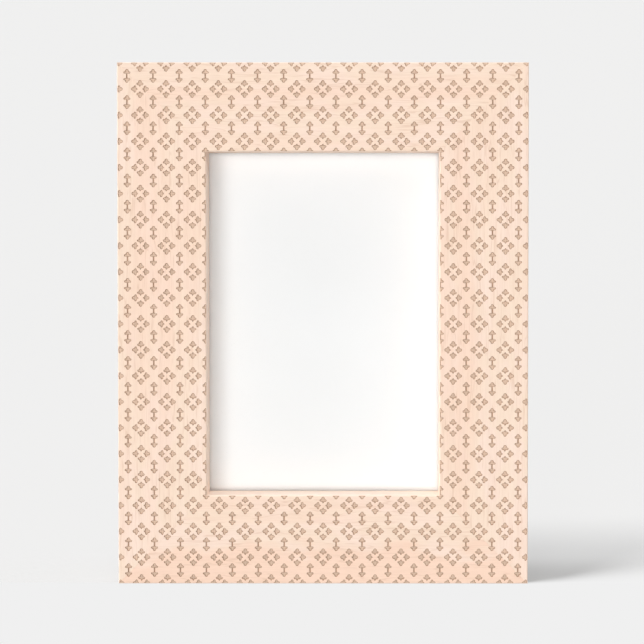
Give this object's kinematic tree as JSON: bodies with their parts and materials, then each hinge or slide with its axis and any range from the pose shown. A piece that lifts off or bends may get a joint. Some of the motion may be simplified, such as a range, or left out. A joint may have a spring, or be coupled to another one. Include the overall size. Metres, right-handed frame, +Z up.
{
  "type": "picture frame",
  "caption": "Flat mitred wooden picture frame with an all-over engraved trefoil pattern, glass, a backing held by turn buttons and a folding easel strut.",
  "frame": {"origin": "middle of the footprint, on the table, with the frame standing on its back bottom edge and its strut", "axes": "+Z up, +X to the viewer's right when facing the picture, +Y from the picture to the back"},
  "size_m": [0.1736, 0.0842, 0.2195],
  "materials": {
    "maple": "engraved, oiled, satin",
    "glass": "clear",
    "sheet": "smooth white",
    "card": "plain grey-brown",
    "hardboard": "smooth pressed board",
    "zinc": "zinc plated",
    "brassed": "brass plated"
  },
  "bodies": {
    "frame": {"top_rail": "maple", "bottom_rail": "maple", "left_stile": "maple", "right_stile": "maple", "corner_v_nails": "zinc", "glazing": "glass", "picture_sheet": "sheet", "filler_board": "card", "backing_board": "hardboard", "hinge_leaf_backing": "brassed", "hinge_pin": "zinc", "hinge_rivets_backing": "brassed", "turn_button_screws": "zinc", "sawtooth_hanger_top": "zinc", "sawtooth_hanger_side": "zinc", "hanger_nails": "zinc"},
    "strut": {"easel_strut": "hardboard", "hinge_leaf_strut": "brassed", "hinge_rivets_strut": "brassed"},
    "button_left_lower": {"turn_button_left_lower": "zinc"},
    "button_left_upper": {"turn_button_left_upper": "zinc"},
    "button_right_lower": {"turn_button_right_lower": "zinc"},
    "button_right_upper": {"turn_button_right_upper": "zinc"}
  },
  "joints": [
    {"name": "strut_fold", "type": "hinge", "parent": "frame", "child": "strut", "pos_m": [0, 0.00988, 0.14669], "axis": [-1, 0, 0], "range_deg": [0, 22]},
    {"name": "button_turn_left_lower", "type": "hinge", "parent": "frame", "child": "button_left_lower", "pos_m": [-0.0596, -0.01003, 0.06076], "axis": [0, 0.9781, -0.2079], "continuous": true},
    {"name": "button_turn_left_upper", "type": "hinge", "parent": "frame", "child": "button_left_upper", "pos_m": [-0.0596, 0.00993, 0.15466], "axis": [0, 0.9781, -0.2079], "continuous": true},
    {"name": "button_turn_right_lower", "type": "hinge", "parent": "frame", "child": "button_right_lower", "pos_m": [0.0596, -0.01003, 0.06076], "axis": [0, 0.9781, -0.2079], "continuous": true},
    {"name": "button_turn_right_upper", "type": "hinge", "parent": "frame", "child": "button_right_upper", "pos_m": [0.0596, 0.00993, 0.15466], "axis": [0, 0.9781, -0.2079], "continuous": true}
  ]
}
